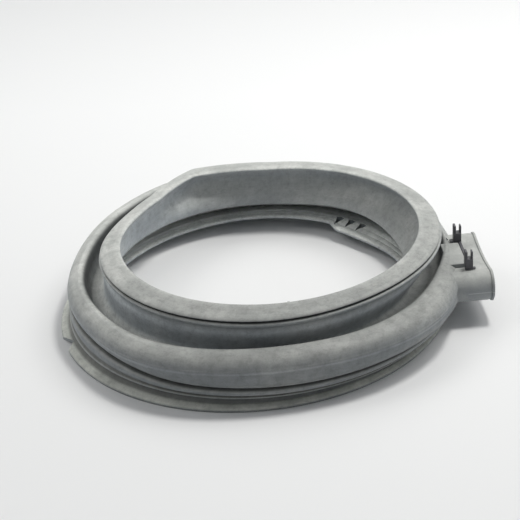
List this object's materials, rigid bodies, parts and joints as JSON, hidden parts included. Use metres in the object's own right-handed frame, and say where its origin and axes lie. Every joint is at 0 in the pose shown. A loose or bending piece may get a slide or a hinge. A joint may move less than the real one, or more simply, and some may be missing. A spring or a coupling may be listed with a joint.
{
  "type": "washing machine door seal",
  "caption": "Round grey rubber bellows seal for a front-loading machine's door, with a folded lip, a fat outer roll, a clamp groove and a flat air duct at one side.",
  "frame": {"origin": "middle of the bounding box, on the surface that the tub side rests on", "axes": "+X towards the air duct, +Z along the opening's axis, from the tub side to the door lip"},
  "size_m": [0.429, 0.4072, 0.08],
  "materials": {
    "rubber": "matte, chalky grey rubber",
    "clip": "matte dark plastic"
  },
  "bodies": {
    "root": {"door_seal": "rubber", "duct_clip": "clip"}
  },
  "joints": []
}
